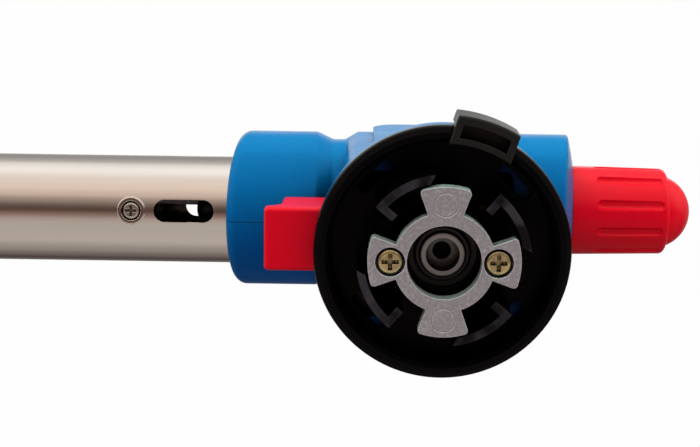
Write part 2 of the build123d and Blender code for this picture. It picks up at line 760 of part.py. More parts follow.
with BuildPart() as jet_pipe:
    with BuildSketch(cross_plane(PIPE_START, BARREL_Z)):
        Circle(PIPE_R)
        Circle(1.2, mode=Mode.SUBTRACT)
    extrude(amount=PIPE_END - PIPE_START)
save(jet_pipe, "jet_pipe")

with BuildPart() as gas_jet:
    with BuildSketch(side_plane(BARREL_Z)):
        with BuildLine():
            Polyline(
                (JET_FRONT, 0.25),
                (JET_REAR + 6.5, 0.25),
                (JET_REAR + 5.6, 1.2),
                (PIPE_END + 0.1, 1.2),
                (PIPE_END + 0.1, PIPE_R + RUNNING),
                (JET_REAR, PIPE_R + RUNNING),
                (JET_REAR, JET_R),
                (JET_FRONT - 2.0, JET_R),
            )
            ThreePointArc((JET_FRONT - 2.0, JET_R), (JET_FRONT - 0.55, 2.1), (JET_FRONT, 0.25))
        make_face()
    revolve(axis=BARREL_AXIS)
save(gas_jet, "gas_jet")

with BuildPart() as tube_socket:
    socket_outline = [
        (SOCKET_REAR, PIPE_R + RUNNING),
        (SOCKET_REAR, 11.9),
        (SOCKET_FACE, 11.9),
        (SOCKET_FACE, SLEEVE_OUTER),
        (SOCKET_END, SLEEVE_OUTER),
        (SOCKET_END, 9.2),
        (SOCKET_FACE + 0.6, 9.2),
        (SOCKET_FACE + 0.6, PIPE_R + RUNNING),
    ]
    revolve(outline(socket_outline, side_plane(BARREL_Z)), axis=BARREL_AXIS)
    with BuildSketch(cross_plane(SOCKET_REAR, BARREL_Z)):
        with Locations((INSULATOR_Y, INSULATOR_RISE)):
            Circle(INSULATOR_R + RUNNING)
    extrude(amount=4, mode=Mode.SUBTRACT)
save(tube_socket, "tube_socket")

with BuildPart() as mixer:
    with BuildSketch(side_plane(BARREL_Z)):
        with BuildLine():
            Polyline(
                (MIXER_REAR, 5.6),
                (MIXER_REAR, SLEEVE_OUTER),
                (MIXER_FLANGE_END, SLEEVE_OUTER),
                (MIXER_FLANGE_END, 5.0),
                (90.0, 5.0),
                (93.0, 5.8),
                (MIXER_END, 5.8),
                (MIXER_END, MIXER_END_R),
                (94.0, MIXER_END_R),
                (72.0, 3.2),
                (66.0, 3.2),
            )
            ThreePointArc((66.0, 3.2), (60.6, 3.9), (MIXER_REAR, 5.6))
        make_face()
    revolve(axis=BARREL_AXIS)
    with BuildSketch(cross_plane(MIXER_REAR, BARREL_Z)):
        with Locations((INSULATOR_Y, INSULATOR_RISE)):
            Circle(INSULATOR_R + RUNNING)
    extrude(amount=20, mode=Mode.SUBTRACT)
    with BuildSketch(tube_side(TUBE_SCREW_X, TUBE_TURN, 6.5)):
        Circle(1.2 + RUNNING)
    extrude(amount=6, mode=Mode.SUBTRACT)
save(mixer, "mixer")

with BuildPart() as flame_holder:
    with BuildSketch(cross_plane(HOLDER_REAR, BARREL_Z)):
        Circle(SLEEVE_OUTER)
        Circle(5.8 + RUNNING, mode=Mode.SUBTRACT)
        with Locations((INSULATOR_Y, INSULATOR_RISE)):
            Circle(INSULATOR_R + RUNNING, mode=Mode.SUBTRACT)
        for step in range(1, 9):
            angle = math.radians(90 + 40 * step)
            with Locations((8.1 * math.cos(angle), 8.1 * math.sin(angle))):
                Circle(1.2, mode=Mode.SUBTRACT)
    extrude(amount=2.4)
save(flame_holder, "flame_holder")

SWIRL_REAR = 94.8
SWIRL_FRONT = 98.8
SWIRL_HUB_R = 1.3
SWIRL_RING_R = 4.3
VANES = 6
VANE_TILT = 35.0

with BuildPart() as swirl_ring:
    with BuildSketch(cross_plane(SWIRL_REAR, BARREL_Z)):
        Circle(MIXER_END_R - RUNNING)
        Circle(SWIRL_RING_R, mode=Mode.SUBTRACT)
        Circle(SWIRL_HUB_R)
    extrude(amount=SWIRL_FRONT - SWIRL_REAR)
    for number in range(VANES):
        vane_middle = Location(((SWIRL_REAR + SWIRL_FRONT) / 2, 0, BARREL_Z))
        spoke = Location((0, 0, 0), (number * 360 / VANES, 0, 0)) * Location((0, 0, 2.85), (0, 0, VANE_TILT))
        with Locations(vane_middle * spoke):
            Box(3.0, 0.5, 3.6)
save(swirl_ring, "swirl_ring")

with BuildPart() as burner_tube:
    with BuildSketch(cross_plane(TUBE_REAR, BARREL_Z)):
        Circle(TUBE_R)
    extrude(amount=TUBE_FRONT - TUBE_REAR)
    # raised lip round the screw
    with BuildSketch(tube_side(TUBE_SCREW_X, TUBE_TURN, TUBE_R - 1)):
        Circle(LIP_R)
    extrude(amount=1.45)
    rims = burner_tube.edges().filter_by(GeomType.CIRCLE)
    fillet(rims.filter_by(lambda rim: abs(rim.radius - LIP_R) < 0.01), 0.25)
    with BuildSketch(cross_plane(TUBE_REAR, BARREL_Z)):
        Circle(TUBE_R - TUBE_WALL)
    extrude(amount=TUBE_FRONT - TUBE_REAR, mode=Mode.SUBTRACT)
    with BuildSketch(tube_side(TUBE_SCREW_X, TUBE_TURN, 5)):
        Circle(1.95)
    extrude(amount=10, mode=Mode.SUBTRACT)
    # air slots, opposite each other
    with BuildSketch(tube_side(SLOT_X, TUBE_TURN, 5)):
        SlotOverall(SLOT_LENGTH, SLOT_WIDTH)
    extrude(amount=10, mode=Mode.SUBTRACT)
    with BuildSketch(tube_side(UPPER_SLOT_X, TUBE_TURN + 180, 5)):
        SlotOverall(SLOT_LENGTH, SLOT_WIDTH)
    extrude(amount=10, mode=Mode.SUBTRACT)
save(burner_tube, "burner_tube")

with BuildPart() as tube_screw:
    with Locations(tube_side(TUBE_SCREW_X, TUBE_TURN, SLEEVE_OUTER)):
        add(pan_screw(1.75, 0.95, 1.2, 3.4), rotation=(180, 0, 0))
save(tube_screw, "tube_screw")


# ---- ignition: trigger and igniter unit ---------------------------------------------------------------

ARM_FRONT = 15.7
FINGER_X = 30.2
TIP_X = 33.2
PLUNGER_R = PIEZO_BORE_R - 0.08
PLUNGER_HEAD_R = 2.7
POCKET_R = 2.85
POCKET_REAR = 2.5
CASE_REAR = -12.6
CASE_FRONT = 7.8
CASE_WIDTH = 6.6
CASE_HEIGHT = 9.6
PLUNGER_END = 4.5
HEAD_REAR = 11.5
HAMMER_REAR = -4.5
HAMMER_FRONT = -1.5
ELEMENT_FRONT = -5.75
TERMINAL_X = -9.5

with BuildPart() as trigger:
    with BuildSketch(side_plane(0, TRIGGER_HALF)) as trigger_sketch:
        with BuildLine():
            Polyline(
                (FINGER_X, 23.0),
                (FINGER_X - 0.2, TRIGGER_TOP),
                (ARM_FRONT - 0.2, TRIGGER_TOP),
                (ARM_FRONT - 0.2, TRIGGER_LOW),
                (TIP_X, TRIGGER_LOW),
                (TIP_X, 20.06),
            )
            ThreePointArc((TIP_X, 20.06), (31.2, 20.9), (FINGER_X, 23.0))
        make_face()
        fillet(trigger_sketch.vertices().sort_by_distance(Vector(TIP_X, TRIGGER_LOW, 0))[0], 0.9)
        fillet(trigger_sketch.vertices().sort_by_distance(Vector(TIP_X, 20.06, 0))[0], 0.5)
    extrude(amount=2 * TRIGGER_HALF)
    side_edges = trigger.edges().filter_by(lambda e: abs(abs(e.center().Y) - TRIGGER_HALF) < 0.01)
    fillet(side_edges.filter_by(lambda e: e.center().X > 28), 0.8)
    # arm that stays behind the casing's wall and reaches the plunger
    with BuildSketch(Plane.XY.offset(TRIGGER_LOW + 0.9)):
        with Locations(((TRIGGER_BACK + ARM_FRONT) / 2, -2.4)):
            Rectangle(ARM_FRONT - TRIGGER_BACK, 21.6)
    extrude(amount=9.6)
    # moulded hollow, open at the back
    with BuildSketch(Plane.XY.offset(TRIGGER_LOW + 1.6)):
        with Locations((20.5, 0)):
            Rectangle(16, 2 * TRIGGER_HALF - 3.2)
    extrude(amount=7.6, mode=Mode.SUBTRACT)
save(trigger, "trigger")

with BuildPart() as piezo_case:
    with BuildSketch(cross_plane(CASE_REAR, PIEZO_Z)):
        with Locations((PIEZO_Y, 0)):
            RectangleRounded(CASE_WIDTH, CASE_HEIGHT, 1.0)
    extrude(amount=CASE_FRONT - CASE_REAR)
    case_bore = [
        (-11.6, 0),
        (-11.6, PIEZO_BORE_R),
        (POCKET_REAR, PIEZO_BORE_R),
        (POCKET_REAR, POCKET_R),
        (CASE_FRONT + 1, POCKET_R),
        (CASE_FRONT + 1, 0),
    ]
    revolve(outline(case_bore, side_plane(PIEZO_Z, PIEZO_Y)), axis=PIEZO_AXIS, mode=Mode.SUBTRACT)
    with BuildSketch(Plane.XY.offset(PIEZO_Z)):
        with Locations((TERMINAL_X, PIEZO_Y)):
            Circle(0.8 + RUNNING)
    extrude(amount=8, mode=Mode.SUBTRACT)
save(piezo_case, "piezo_case")

with BuildPart() as piezo_plunger:
    plunger_outline = [
        (PLUNGER_END, 0),
        (PLUNGER_END, PLUNGER_R),
        (HEAD_REAR, PLUNGER_R),
        (HEAD_REAR, PLUNGER_HEAD_R),
        (TRIGGER_BACK, PLUNGER_HEAD_R),
        (TRIGGER_BACK, 0),
    ]
    revolve(outline(plunger_outline, side_plane(PIEZO_Z, PIEZO_Y), (4,), 0.5), axis=PIEZO_AXIS)
save(piezo_plunger, "piezo_plunger")

with BuildPart() as piezo_return_spring:
    add(coil_spring(POCKET_REAR + 0.22, HEAD_REAR - POCKET_REAR - 0.44, 2.3, 0.2, 1.2))
save(piezo_return_spring, "piezo_return_spring")

with BuildPart() as piezo_hammer:
    with BuildSketch(cross_plane(HAMMER_REAR, PIEZO_Z)):
        with Locations((PIEZO_Y, 0)):
            Circle(PLUNGER_R)
    extrude(amount=HAMMER_FRONT - HAMMER_REAR)
save(piezo_hammer, "piezo_hammer")

with BuildPart() as piezo_hammer_spring:
    add(coil_spring(HAMMER_FRONT + 0.17, PLUNGER_END - HAMMER_FRONT - 0.34, 1.3, 0.15, 0.9))
save(piezo_hammer_spring, "piezo_hammer_spring")

with BuildPart() as piezo_element:
    with BuildSketch(cross_plane(-11.5, PIEZO_Z)):
        with Locations((PIEZO_Y, 0)):
            Circle(PLUNGER_R)
    extrude(amount=ELEMENT_FRONT + 11.5)
save(piezo_element, "piezo_element")

with BuildPart() as piezo_terminal:
    with BuildSketch(Plane.XY.offset(PIEZO_Z + PLUNGER_R)):
        with Locations((TERMINAL_X, PIEZO_Y)):
            Circle(0.8)
    extrude(amount=4.0)
save(piezo_terminal, "piezo_terminal")

with BuildPart() as earth_strap:
    with BuildSketch(Plane.XY.offset(PIEZO_Z - 1.5)):
        with BuildLine():
            Polyline(
                (-12.0, -6.95),
                (-8.9, -6.95),
                (-5.55, -2.85),
                (-5.85, -2.6),
                (-9.1, -6.55),
                (-12.0, -6.55),
                close=True,
            )
        make_face()
    extrude(amount=3.0)
save(earth_strap, "earth_strap")


# ---- ignition: lead, insulator and electrode -----------------------------------------------------------

INSULATOR_REAR = 24.4
INSULATOR_FRONT = 101.0
WIRE_R = 0.5
LEAD_START = PIEZO_Z + PLUNGER_R + 4.0
INSULATOR_Z = BARREL_Z + INSULATOR_RISE
LEAD_ROUTE = [
    (TERMINAL_X, PIEZO_Y, LEAD_START),
    (TERMINAL_X, PIEZO_Y, 38.0),
    (-1.0, -10.2, 46.5),
    (9.0, -7.6, 51.6),
    (16.0, -2.4, INSULATOR_Z),
    (20.0, INSULATOR_Y, INSULATOR_Z),
    (INSULATOR_REAR, INSULATOR_Y, INSULATOR_Z),
]


def bend_radii(route):
    """The largest arc that each corner of a route has room for."""
    radii = []
    for before, here, after in zip(route, route[1:], route[2:]):
        run_in = Vector(*here) - Vector(*before)
        run_out = Vector(*after) - Vector(*here)
        half_turn = math.radians(run_in.get_angle(run_out)) / 2
        radii.append(0.45 * min(run_in.length, run_out.length) / math.tan(half_turn))
    return radii


LEAD_RADII = bend_radii(LEAD_ROUTE)
print("igniter lead's bends, mm:", [round(radius, 1) for radius in LEAD_RADII])

with BuildPart() as igniter_lead:
    with BuildLine() as lead_path:
        FilletPolyline(*LEAD_ROUTE, radius=LEAD_RADII)
    with BuildSketch(Plane(origin=lead_path.line @ 0, z_dir=lead_path.line % 0)):
        Circle(LEAD_R)
    sweep()
lead_length = sum(edge.length for edge in lead_path.edges())
print("igniter lead's length, mm:", round(lead_length, 1))
lead_volume = math.pi * LEAD_R**2 * lead_length
print("igniter lead's volume, built over worked out:", round(igniter_lead.part.volume / lead_volume, 4))
save(igniter_lead, "igniter_lead")

with BuildPart() as electrode_insulator:
    with BuildSketch(cross_plane(INSULATOR_REAR, INSULATOR_Z)):
        with Locations((INSULATOR_Y, 0)):
            Circle(INSULATOR_R)
            Circle(WIRE_R + RUNNING, mode=Mode.SUBTRACT)
    extrude(amount=INSULATOR_FRONT - INSULATOR_REAR)
save(electrode_insulator, "electrode_insulator")

with BuildPart() as electrode:
    with BuildLine() as wire_path:
        FilletPolyline(
            (INSULATOR_REAR, INSULATOR_Y, INSULATOR_Z),
            (105.0, INSULATOR_Y, INSULATOR_Z),
            (108.2, INSULATOR_Y, INSULATOR_Z - 3.4),
            radius=1.6,
        )
    with BuildSketch(Plane(origin=wire_path.line @ 0, z_dir=wire_path.line % 0)):
        Circle(WIRE_R)
    sweep()
save(electrode, "electrode")
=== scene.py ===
"""Looks, light and camera for the clip-on gas torch head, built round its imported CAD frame."""

import json
import math

import bmesh
import bpy
from mathutils import Matrix, Vector


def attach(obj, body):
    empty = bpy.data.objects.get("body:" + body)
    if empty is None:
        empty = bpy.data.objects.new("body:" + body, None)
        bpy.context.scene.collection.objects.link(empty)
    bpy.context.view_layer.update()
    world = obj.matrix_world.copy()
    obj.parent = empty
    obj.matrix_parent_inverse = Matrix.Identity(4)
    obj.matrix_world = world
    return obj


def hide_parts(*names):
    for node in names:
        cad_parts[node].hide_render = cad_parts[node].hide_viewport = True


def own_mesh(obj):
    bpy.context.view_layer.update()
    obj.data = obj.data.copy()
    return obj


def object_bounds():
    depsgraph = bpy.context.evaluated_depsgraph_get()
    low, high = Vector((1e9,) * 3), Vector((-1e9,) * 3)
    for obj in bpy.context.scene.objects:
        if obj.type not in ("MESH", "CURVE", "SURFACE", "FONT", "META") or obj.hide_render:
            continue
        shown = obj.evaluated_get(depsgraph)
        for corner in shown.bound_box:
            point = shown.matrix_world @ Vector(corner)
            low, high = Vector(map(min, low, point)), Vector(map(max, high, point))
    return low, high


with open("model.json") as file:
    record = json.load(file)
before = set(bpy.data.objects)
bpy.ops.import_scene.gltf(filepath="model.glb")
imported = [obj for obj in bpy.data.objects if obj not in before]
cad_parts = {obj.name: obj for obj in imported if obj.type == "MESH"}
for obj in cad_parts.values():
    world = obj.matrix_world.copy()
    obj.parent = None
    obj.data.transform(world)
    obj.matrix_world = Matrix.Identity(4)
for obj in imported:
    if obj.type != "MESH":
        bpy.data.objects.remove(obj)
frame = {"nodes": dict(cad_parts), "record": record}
cad_low, cad_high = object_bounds()
nodes = frame["nodes"]
mounts = {mount["name"]: mount for mount in frame["record"]["mounts"]}
barrel_z = mounts["burner_tube"]["pos_m"][2]      # height of the burner tube's axis
scene = bpy.context.scene

# ---- camera: below the collar and a little towards the torch's left, looking up at it ----

CAMERA_TILT = math.radians(12.0)
CAMERA_ROLL = 0.0149           # radians
CAMERA_DISTANCE = 0.357        # to the burner tube's axis
CAMERA_DROP = 0.0027           # the picture's centre is this far below the axis
CAMERA_AIM_X = 0.017           # the picture's centre along the burner tube
SENSOR_WIDTH = 36.0            # mm
FOCAL_LENGTH = 89.85           # mm

forward = Vector((0, -math.sin(CAMERA_TILT), math.cos(CAMERA_TILT)))
upward = Vector((0, math.cos(CAMERA_TILT), math.sin(CAMERA_TILT)))
aim = Vector((CAMERA_AIM_X, 0, barrel_z))

camera_data = bpy.data.cameras.new("camera")
camera_data.sensor_width = SENSOR_WIDTH
camera_data.lens = FOCAL_LENGTH
camera_data.clip_start = 0.01
camera_data.clip_end = 20.0
camera = bpy.data.objects.new("camera", camera_data)
scene.collection.objects.link(camera)
scene.camera = camera
camera_right = (Vector((-1, 0, 0)) + CAMERA_ROLL * upward).normalized()
camera_up = camera_right.cross(forward).normalized()
turn = Matrix((camera_right, camera_up, -forward)).transposed()
camera.rotation_mode = "QUATERNION"
camera.rotation_quaternion = turn.to_quaternion()
camera.location = aim - CAMERA_DISTANCE * forward - CAMERA_DROP * upward

scene.view_settings.view_transform = "Standard"
scene.view_settings.look = "None"


# ---- shader helpers ----

MIX_INPUTS = (0, 6, 7)         # the Mix node's factor and its two colours
MIX_RESULT = 2                 # its colour output
BEVEL_SAMPLES = 6
HOLLOW_SAMPLES = 8
FLAT_DOT = 0.995               # softened against plain normal: an edge starts here
EDGE_DOT = 0.85                # and is at its full strength here


class Look:
    """A material with its node tree, and short calls for the nodes it needs."""

    def __init__(self, name):
        self.material = bpy.data.materials.new(name)
        self.material.use_nodes = True
        self.tree = self.material.node_tree
        self.shader = self.tree.nodes["Principled BSDF"]
        self.place = self.add("ShaderNodeTexCoord").outputs["Object"]

    def add(self, kind, **settings):
        made = self.tree.nodes.new(kind)
        for key, value in settings.items():
            setattr(made, key, value)
        return made

    def join(self, source, target):
        self.tree.links.new(source, target)

    def fill(self, node, **values):
        """Sets or links a node's inputs; a name's underscores stand for spaces."""
        for key, value in values.items():
            socket = node.inputs[key.replace("_", " ")]
            if isinstance(value, bpy.types.NodeSocket):
                self.join(value, socket)
            else:
                socket.default_value = value
        return node

    def stretched(self, scale):
        """Object coordinates, scaled along each axis: below 1 draws a pattern out."""
        mapping = self.add("ShaderNodeMapping")
        self.fill(mapping, Vector=self.place, Scale=scale)
        return mapping.outputs["Vector"]

    def noise(self, scale, detail=3.0, roughness=0.55, stretch=(1, 1, 1)):
        """Soft random pattern of about the scale's number of features per metre."""
        made = self.add("ShaderNodeTexNoise")
        self.fill(made, Vector=self.stretched(stretch), Scale=scale, Detail=detail, Roughness=roughness)
        return made.outputs["Fac"]

    def cells(self, scale):
        """Distance to the nearest of scattered points, for specks and pits."""
        made = self.add("ShaderNodeTexVoronoi")
        self.fill(made, Vector=self.place, Scale=scale)
        return made.outputs["Distance"]

    def span(self, value, low, high, to_low=0.0, to_high=1.0):
        """The value's range low..high, stretched to to_low..to_high and kept inside it."""
        made = self.add("ShaderNodeMapRange", clamp=True)
        self.fill(made, Value=value, From_Min=low, From_Max=high, To_Min=to_low, To_Max=to_high)
        return made.outputs["Result"]

    def math(self, operation, first, second=0.0):
        made = self.add("ShaderNodeMath", operation=operation)
        for socket, value in zip(made.inputs, (first, second)):
            if isinstance(value, bpy.types.NodeSocket):
                self.join(value, socket)
            else:
                socket.default_value = value
        return made.outputs[0]

    def blend(self, factor, first, second):
        """The first colour at a factor of 0, the second at 1."""
        made = self.add("ShaderNodeMix", data_type="RGBA")
        sockets = [made.inputs[number] for number in MIX_INPUTS]
        for socket, value in zip(sockets, (factor, first, second)):
            if isinstance(value, bpy.types.NodeSocket):
                self.join(value, socket)
            elif isinstance(value, tuple):
                socket.default_value = (*value, 1.0)
            else:
                socket.default_value = value
        return made.outputs[MIX_RESULT]

    def edges(self, radius):
        """0 on faces and up to 1 along convex and concave edges; also the softened normal."""
        bevel = self.fill(self.add("ShaderNodeBevel", samples=BEVEL_SAMPLES), Radius=radius)
        plain = self.add("ShaderNodeNewGeometry").outputs["Normal"]
        dot = self.add("ShaderNodeVectorMath", operation="DOT_PRODUCT")
        self.join(bevel.outputs["Normal"], dot.inputs[0])
        self.join(plain, dot.inputs[1])
        return self.span(dot.outputs["Value"], FLAT_DOT, EDGE_DOT), bevel.outputs["Normal"]

    def shaded(self, base, reach, low, high):
        """The colour with painted shade in hollows: black where openness to the reach is below low,
        plain above high.
        """
        occlusion = self.add("ShaderNodeAmbientOcclusion", samples=HOLLOW_SAMPLES)
        hollow = self.fill(occlusion, Distance=reach)
        return self.blend(self.span(hollow.outputs["AO"], low, high), (0.0, 0.0, 0.0), base)

    def relief(self, height, distance, normal=None):
        """Bump from a height of 0 to 1 that stands the distance high, in metres."""
        made = self.add("ShaderNodeBump")
        self.fill(made, Height=height, Distance=distance, Strength=1.0)
        if normal is not None:
            self.join(normal, made.inputs["Normal"])
        return made.outputs["Normal"]


def scaled(colour, factor):
    """The colour, brighter or darker, with no channel above 1."""
    return tuple(min(1.0, channel * factor) for channel in colour)


TIP_FULL = 0.0011              # scuffs on the ribs are at full strength below this height
TIP_END = 0.0019               # and end here
DUST_GREY = (0.25, 0.25, 0.25)
HOLLOW_REACH = 0.02            # how far out the painted shade of hollows looks


def moulded(name, colour, roughness, grain, painted_edge_highlight=1.35, specular=0.2, tips=None):
    """Injection-moulded plastic: faint flow clouds, spark-eroded grain, a painted highlight along edges
    and painted shade in hollows.
    """
    look = Look(name)
    clouds = look.noise(55.0, 4.0, stretch=(1.0, 1.0, 0.6))
    fine = look.noise(3200.0, 2.0, 0.6)
    edge, soft = look.edges(0.00025)
    base = look.blend(look.span(clouds, 0.35, 0.65), scaled(colour, 0.94), scaled(colour, 1.04))
    # painted highlight: convex and concave edges lightened to a brighter copy of the colour
    base = look.blend(look.math("MULTIPLY", edge, 0.35), base, scaled(colour, painted_edge_highlight))
    if tips is not None:
        # scuffed ends of the ribs, nearest the cartridge
        height = look.add("ShaderNodeSeparateXYZ")
        look.join(look.place, height.inputs[0])
        worn = look.span(look.noise(190.0, 3.0), 0.4, 0.62, 0.15, 1.0)
        at_tip = look.span(height.outputs["Z"], TIP_FULL, TIP_END, 1.0, 0.0)
        scuff = look.math("MULTIPLY", at_tip, worn)
        base = look.blend(scuff, base, tips)
        dust = look.span(look.cells(330.0), 0.0, 0.035, 1.0, 0.0)
        base = look.blend(look.math("MULTIPLY", dust, 0.5), base, DUST_GREY)
    # painted shade: hollows darkened towards black
    base = look.shaded(base, HOLLOW_REACH, 0.22, 0.6)
    smudge = look.noise(140.0, 3.0)
    rough = look.span(smudge, 0.3, 0.75, roughness - 0.035, roughness + 0.06)
    rough = look.math("ADD", rough, look.math("MULTIPLY", fine, 0.04))
    normal = look.relief(fine, grain, soft)
    look.fill(look.shader, Base_Color=base, Roughness=rough, Normal=normal, Metallic=0.0)
    look.shader.inputs["Specular IOR Level"].default_value = specular
    return look


def drawn_metal(name, colour, roughness, streak_scale=1600.0, streak=0.000004, warm=(1.0, 1.0, 1.0)):
    """Drawn or turned metal with fine streaks along X, the burner tube's direction."""
    look = Look(name)
    streaks = look.noise(streak_scale, 5.0, 0.62, stretch=(0.012, 1.0, 1.0))
    broad = look.noise(120.0, 3.0, stretch=(0.08, 1.0, 1.0))
    cloud = look.noise(38.0, 3.0)
    edge, soft = look.edges(0.0002)
    base = look.blend(look.span(broad, 0.35, 0.65), scaled(colour, 0.95), scaled(colour, 1.04))
    base = look.blend(look.math("MULTIPLY", look.span(cloud, 0.5, 0.8), 0.25), base, scaled(warm, 0.62))
    # painted highlight: convex and concave edges lightened
    base = look.blend(look.math("MULTIPLY", edge, 0.5), base, scaled(colour, 1.25))
    # painted shade: hollows darkened towards black
    base = look.shaded(base, HOLLOW_REACH, 0.1, 0.5)
    rough = look.span(streaks, 0.3, 0.7, roughness - 0.03, roughness + 0.05)
    look.fill(look.shader, Base_Color=base, Roughness=rough, Metallic=1.0)
    look.fill(look.shader, Normal=look.relief(streaks, streak, soft))
    return look


def cast_metal(name, colour, roughness, pits=0.00003):
    """Die-cast zinc: dull, grainy skin with small pits, a painted highlight along its edges and painted
    shade in hollows.
    """
    look = Look(name)
    fine = look.noise(2600.0, 4.0, 0.65)
    cloud = look.noise(210.0, 4.0)
    pit = look.span(look.cells(900.0), 0.0, 0.16, 1.0, 0.0)
    edge, soft = look.edges(0.0003)
    base = look.blend(look.span(cloud, 0.3, 0.7), scaled(colour, 0.8), scaled(colour, 1.15))
    speckle = look.noise(1500.0, 5.0, 0.7)
    base = look.blend(look.span(speckle, 0.42, 0.62), scaled(colour, 0.72), base)
    base = look.blend(look.span(speckle, 0.6, 0.72, 0.0, 0.7), base, scaled(colour, 1.7))
    base = look.blend(look.math("MULTIPLY", pit, 0.35), base, scaled(colour, 0.45))
    # painted highlight: convex and concave edges lightened
    base = look.blend(look.math("MULTIPLY", edge, 0.75), base, scaled(colour, 1.8))
    # painted shade: hollows darkened towards black
    base = look.shaded(base, 0.01, 0.05, 0.45)
    rough = look.span(fine, 0.3, 0.7, roughness - 0.06, roughness + 0.1)
    height = look.math("SUBTRACT", fine, look.math("MULTIPLY", pit, 1.4))
    look.fill(look.shader, Base_Color=base, Roughness=rough, Metallic=0.45)
    look.fill(look.shader, Normal=look.relief(height, pits, soft))
    return look


def plated(name, first, second, roughness, cloud_scale=420.0):
    """Plated steel whose tint drifts from one colour to another."""
    look = Look(name)
    cloud = look.noise(cloud_scale, 3.0)
    fine = look.noise(3600.0, 3.0)
    edge, soft = look.edges(0.00015)
    base = look.blend(look.span(cloud, 0.38, 0.62), first, second)
    # painted highlight: convex and concave edges lightened
    base = look.blend(look.math("MULTIPLY", edge, 0.6), base, scaled(first, 1.5))
    # painted shade: small recesses darkened towards black
    base = look.shaded(base, 0.0015, 0.25, 0.85)
    rough = look.span(fine, 0.3, 0.7, roughness - 0.05, roughness + 0.08)
    look.fill(look.shader, Base_Color=base, Roughness=rough, Metallic=1.0)
    look.fill(look.shader, Normal=look.relief(fine, 0.000006, soft))
    return look


def soft_rubber(name, colour, roughness):
    """Rubber: matt, with a fine dusty grain."""
    look = Look(name)
    fine = look.noise(2800.0, 3.0, 0.6)
    cloud = look.noise(260.0, 3.0)
    edge, soft = look.edges(0.0002)
    base = look.blend(look.span(cloud, 0.3, 0.7), scaled(colour, 0.75), scaled(colour, 1.5))
    # painted highlight: convex and concave edges lightened
    base = look.blend(look.math("MULTIPLY", edge, 0.4), base, scaled(colour, 3.0))
    rough = look.span(fine, 0.3, 0.7, roughness - 0.06, roughness + 0.1)
    look.fill(look.shader, Base_Color=base, Roughness=rough, Metallic=0.0)
    look.fill(look.shader, Normal=look.relief(fine, 0.00001, soft))
    return look


def glazed(name, colour, roughness):
    """Fired ceramic: off-white with faint specks."""
    look = Look(name)
    fine = look.noise(2400.0, 3.0)
    speck = look.span(look.cells(1100.0), 0.0, 0.1, 1.0, 0.0)
    base = look.blend(look.span(fine, 0.3, 0.7), scaled(colour, 0.9), scaled(colour, 1.05))
    base = look.blend(look.math("MULTIPLY", speck, 0.3), base, scaled(colour, 0.4))
    rough = look.span(fine, 0.3, 0.7, roughness - 0.05, roughness + 0.08)
    look.fill(look.shader, Base_Color=base, Roughness=rough, Metallic=0.0)
    look.fill(look.shader, Normal=look.relief(fine, 0.00001))
    return look


BLUE = (0.0, 0.112, 0.32)
RED = (0.78, 0.0, 0.013)
BLACK = (0.0012, 0.0012, 0.0014)
RIB_GREY = (0.04, 0.04, 0.044)

# the edge factors below set the strength of each plastic's painted edge highlight
looks = {
    "casing_plastic": moulded("casing_blue", BLUE, 0.26, 0.000012, specular=0.035),
    "red_plastic": moulded("red_plastic", RED, 0.2, 0.00001, specular=0.12),
    "cup_plastic": moulded(
        "cup_black",
        BLACK,
        0.3,
        0.000006,
        painted_edge_highlight=9.0,
        specular=0.05,
        tips=RIB_GREY,
    ),
    "tab_plastic": moulded("tab_charcoal", (0.009, 0.009, 0.0095), 0.42, 0.00002, painted_edge_highlight=3.5),
    "igniter_plastic": moulded("igniter_black", (0.02, 0.02, 0.02), 0.4, 0.00001, painted_edge_highlight=2.0),
    "zinc": cast_metal("zinc_cast", (0.42, 0.445, 0.45), 0.42),
    "zinc_yellow": plated("zinc_yellow", (0.6, 0.52, 0.27), (0.36, 0.33, 0.2), 0.28, 700.0),
    "nozzle_metal": drawn_metal("nozzle_grey", (0.36, 0.37, 0.38), 0.42, 2400.0),
    "screw_steel": plated("screw_steel", (0.7, 0.68, 0.64), (0.5, 0.48, 0.45), 0.25),
    "spring_steel": plated("spring_steel", (0.48, 0.48, 0.49), (0.4, 0.4, 0.41), 0.32),
    "stainless": drawn_metal("stainless", (0.62, 0.6, 0.57), 0.16, warm=(0.98, 0.92, 0.84)),
    "brass": drawn_metal("brass", (0.66, 0.47, 0.2), 0.28, 2200.0, warm=(0.8, 0.5, 0.2)),
    "bronze": cast_metal("bronze_sintered", (0.42, 0.28, 0.13), 0.6, 0.00006),
    "seal_rubber": soft_rubber("seal_rubber", (0.010, 0.010, 0.010), 0.5),
    "lead_rubber": soft_rubber("lead_rubber", (0.03, 0.03, 0.032), 0.5),
    "ceramic_white": glazed("ceramic_white", (0.78, 0.76, 0.71), 0.4),
}

slots = {part["node"]: part["material_slot"] for part in frame["record"]["subparts"]}
for name, thing in nodes.items():
    thing.data.materials.clear()
    thing.data.materials.append(looks[slots[name]].material)


# ---- igniter springs: copies of the CAD coils, each on the body that carries it ----

# CAD node, the body it sits on, X of its fixed end and the share of its length left at full pull
SPRINGS = (
    ("piezo_return_spring", "torch", 0.0025, 0.444),
    ("piezo_hammer_spring", "ignition_trigger", 0.0045, 0.367),
)

for name, body, fixed_x, keep in SPRINGS:
    coils = bpy.data.objects.new(name + "_coils", nodes[name].data.copy())
    coils.matrix_world = nodes[name].matrix_world.copy()
    scene.collection.objects.link(coils)
    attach(coils, body)
    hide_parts(name)
    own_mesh(coils)


# ---- stage: a pale floor, soft overhead light and studio surroundings ----

FLOOR_HALF = 8.0               # half the floor's width
FLOOR_GRID = 8
FLOOR_GAP = 0.0004             # below the lowest point of the torch
STAGE_X = 0.03                 # middle of the stage along the burner tube

